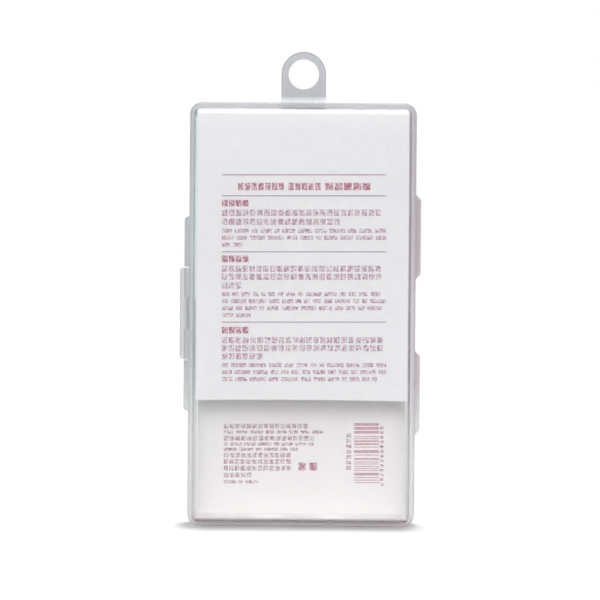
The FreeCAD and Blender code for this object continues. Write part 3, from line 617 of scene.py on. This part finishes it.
BARS_LEFT, BARS_RIGHT = 15.95 * MM, 23.6 * MM
BARS_LOW, BARS_HIGH = 11.6, 29.6
BAR_WIDTHS = (0.28, 0.28, 0.55, 0.85)
BAR_GAPS = (0.35, 0.5, 0.8)
bars = start_print("panel_bars")
z = BARS_LOW
while z < BARS_HIGH:
    thick = random.choice(BAR_WIDTHS)
    film(BARS_LEFT, BARS_RIGHT, (z + thick / 2) * MM, thick * MM, PANEL_INK_Y)
    z += thick + random.choice(BAR_GAPS)
end_print(bars, bar_ink)


# Razors: three moulded handles in mint, cream and pink, each with a stainless blade under a slotted guard,
# and a clear cap that covers the blade. They stand cap down between the card's flap and its front panel.

HANDLE_FLOW = 9 * MM
HANDLE_PEEL, HANDLE_PEEL_DEPTH = 0.8 * MM, 0.02 * MM


def moulded_plastic(name, colour, deep):
    """Glossy moulded plastic: light sinks in a little, and the tone drifts where the melt flowed."""
    material, tree = new_material(name)
    coords = add_node(tree, "TexCoord").outputs["Object"]
    flow = add_node(tree, "TexNoise", {"Scale": 1 / HANDLE_FLOW, "Detail": 2.0}, {"Vector": coords})
    tone = add_node(tree, "Mix", {"data_type": "RGBA", 6: linear(deep), 7: linear(colour)}, {0: flow.outputs["Fac"]})
    peel = add_node(tree, "TexNoise", {"Scale": 1 / HANDLE_PEEL, "Detail": 2.0}, {"Vector": coords})
    bump = add_node(tree, "Bump", {"Strength": 0.05, "Distance": HANDLE_PEEL_DEPTH}, {"Height": peel.outputs["Fac"]})
    surface = add_node(tree, "BsdfPrincipled", {
        "Roughness": 0.28, "IOR": 1.5, "Subsurface Weight": 0.6, "Subsurface Radius": (2.0, 2.0, 2.0),
        "Subsurface Scale": 1.0 * MM,
    }, {"Base Color": tone.outputs[2], "Normal": bump.outputs["Normal"]})
    add_node(tree, "OutputMaterial", None, {"Surface": surface.outputs[0]})
    return material


# Stainless strip: bright metal with the fine parallel lines of rolling, which are too fine to see one by one
# and spread the gloss along the blade.
LINE_PITCH, LINE_LENGTH = 0.08 * MM, 4 * MM


def steel(name, colour, roughness):
    material, tree = new_material(name)
    coords = add_node(tree, "TexCoord").outputs["Object"]
    drawn = add_node(tree, "Mapping", {"Scale": (1 / LINE_PITCH, 1 / LINE_PITCH, 1 / LINE_LENGTH)}, {"Vector": coords})
    lines = add_node(tree, "TexNoise", {"Scale": 1.0, "Detail": 3.0}, {"Vector": drawn.outputs[0]})
    spread = add_node(tree, "MapRange", {"To Min": roughness - 0.06, "To Max": roughness + 0.08},
                      {"Value": lines.outputs["Fac"]})
    surface = add_node(tree, "BsdfPrincipled", {"Base Color": linear(colour), "Metallic": 1.0},
                       {"Roughness": spread.outputs[0]})
    add_node(tree, "OutputMaterial", None, {"Surface": surface.outputs[0]})
    return material


blade_steel = steel("ground stainless steel", "#d5d8da", 0.18)
guard_steel = steel("rolled stainless strip", "#c9ccce", 0.26)

# Caps: thin clear polystyrene, glossier than the case and without its haze.
clear_cap, tree = new_material("clear polystyrene cap")
cap_body = add_node(tree, "BsdfPrincipled", {
    "Base Color": linear("#f7f3f4"), "Roughness": 0.04, "IOR": 1.59, "Transmission Weight": 1.0})
lamps_through = add_node(tree, "BsdfTransparent", {"Color": linear("#f3f0f1")})
rays = add_node(tree, "LightPath")
lit_inside = add_node(tree, "MixShader", None,
                      {0: rays.outputs["Is Shadow Ray"], 1: cap_body.outputs[0], 2: lamps_through.outputs[0]})
add_node(tree, "OutputMaterial", None, {"Surface": lit_inside.outputs[0]})

HANDLE_COLOURS = {
    "left": ("mint", "#86dcc4", "#74cfb6"),
    "middle": ("cream", "#f2e6dc", "#e6d6cb"),
    "right": ("pink", "#e583ad", "#dc6f9e"),
}
for place, (finish, colour, deep) in HANDLE_COLOURS.items():
    dress("handle_" + place, moulded_plastic("moulded %s plastic" % finish, colour, deep))
    dress("blade_" + place, blade_steel)
    dress("guard_" + place, guard_steel)
    dress("cap_" + place, clear_cap)


# Studio: a white paper floor that keeps the case's soft contact shadow, a white surround and three broad lamps.
# The lamps are far away, so the floor is evenly lit out to the horizon and meets the surround without a line.

FLOOR_SIZE = 200
bpy.ops.object.select_all(action="DESELECT")
bpy.ops.mesh.primitive_plane_add(size=FLOOR_SIZE, location=(0, 0, 0))
floor = bpy.context.object
floor.name = "studio_floor"
paper_floor, tree = new_material("white paper floor")
paper = add_node(tree, "BsdfDiffuse", {"Color": linear("#e9e9e9")})
add_node(tree, "OutputMaterial", None, {"Surface": paper.outputs[0]})
floor.data.materials.append(paper_floor)

# The surround is white where it is seen, directly, in gloss or through the plastic, and dimmer as a light.
SURROUND = 0.335
world = bpy.data.worlds.new("white studio")
bpy.context.scene.world = world
world.use_nodes = True
tree = world.node_tree
tree.nodes.clear()
rays = add_node(tree, "LightPath")
in_view = add_node(tree, "Math", {"operation": "MAXIMUM"},
                   {0: rays.outputs["Is Camera Ray"], 1: rays.outputs["Is Glossy Ray"]})
in_view = add_node(tree, "Math", {"operation": "MAXIMUM"},
                   {0: in_view.outputs[0], 1: rays.outputs["Is Transmission Ray"]})
direct = add_node(tree, "Math", {"operation": "LESS_THAN", 1: 0.5}, {0: rays.outputs["Diffuse Depth"]})
seen = add_node(tree, "Math", {"operation": "MULTIPLY"}, {0: in_view.outputs[0], 1: direct.outputs[0]})
level = add_node(tree, "MapRange", {"To Min": SURROUND, "To Max": 1.0}, {"Value": seen.outputs[0]})
backdrop = add_node(tree, "Background", {"Color": (1, 1, 1, 1)}, {"Strength": level.outputs[0]})
add_node(tree, "OutputWorld", None, {"Surface": backdrop.outputs[0]})


def soft_lamp(name, elevation, spread, strength):
    """A broad far lamp, at an angle above the floor measured from the camera's side."""
    lamp = bpy.data.lights.new(name, "SUN")
    lamp.angle = math.radians(spread)
    lamp.energy = strength
    holder = bpy.data.objects.new(name, lamp)
    bpy.context.scene.collection.objects.link(holder)
    holder.rotation_euler = (math.radians(90 - elevation), 0, 0)


soft_lamp("front_softbox", elevation=25, spread=30, strength=1.05)
soft_lamp("overhead_strip", elevation=93.5, spread=5, strength=2.5)
soft_lamp("back_softbox", elevation=168, spread=40, strength=0.35)

# Camera: level with the middle of the case, square to its back, with the slight roll of the photograph.
CAMERA_PLACE = Vector((-0.65 * MM, -430.7 * MM, 67.84 * MM))
CAMERA_ROLL = math.radians(0.418)
view = bpy.data.cameras.new("camera")
view.sensor_width = 36
view.lens = 85
camera = bpy.data.objects.new("camera", view)
bpy.context.scene.collection.objects.link(camera)
camera.matrix_world = (Matrix.Translation(CAMERA_PLACE) @ Matrix.Rotation(math.pi / 2, 4, "X")
                       @ Matrix.Rotation(CAMERA_ROLL, 4, "Z"))
bpy.context.scene.camera = camera
bpy.context.scene.view_settings.view_transform = "Standard"
